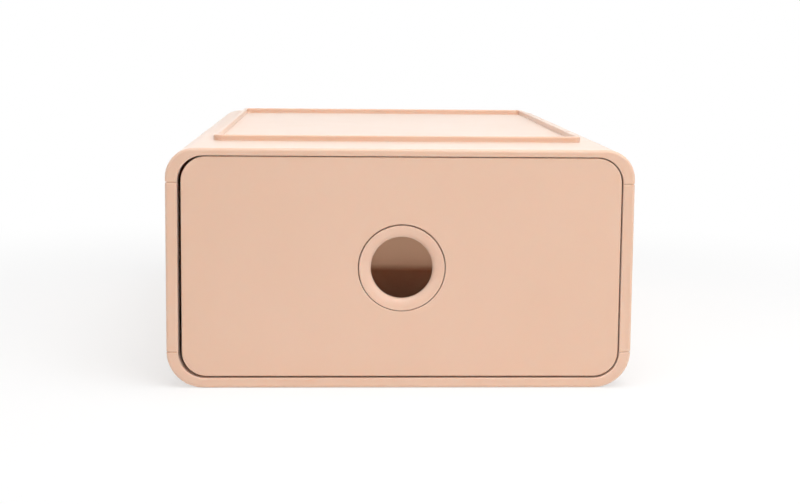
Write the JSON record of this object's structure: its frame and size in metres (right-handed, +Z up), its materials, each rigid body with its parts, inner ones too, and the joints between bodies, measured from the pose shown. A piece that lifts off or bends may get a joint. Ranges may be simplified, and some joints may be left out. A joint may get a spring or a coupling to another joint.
{
  "type": "stackable drawer box",
  "caption": "Stackable desk drawer box: moulded casing with rounded edges and a raised stacking rim, and one sliding drawer opened by a round finger hole.",
  "frame": {"origin": "on the surface it stands on, under the middle of the casing", "axes": "+X to the right as seen from the front, +Y back into the casing, +Z up; the drawer slides out along -Y"},
  "size_m": [0.24, 0.34, 0.1272],
  "materials": {
    "casing_plastic": "fine matte, blush peach",
    "drawer_plastic": "fine matte, blush peach",
    "ring_plastic": "smooth satin, blush peach"
  },
  "bodies": {
    "casing": {"top_shell": "casing_plastic", "bottom_shell": "casing_plastic", "left_side_panel": "casing_plastic", "right_side_panel": "casing_plastic", "back_panel": "casing_plastic"},
    "drawer": {"drawer_bin": "drawer_plastic", "drawer_front": "drawer_plastic", "pull_ring": "ring_plastic"}
  },
  "joints": [
    {"name": "drawer_slide", "type": "slide", "parent": "casing", "child": "drawer", "axis": [0, -1, 0], "range_m": [0, 0.2474]}
  ]
}
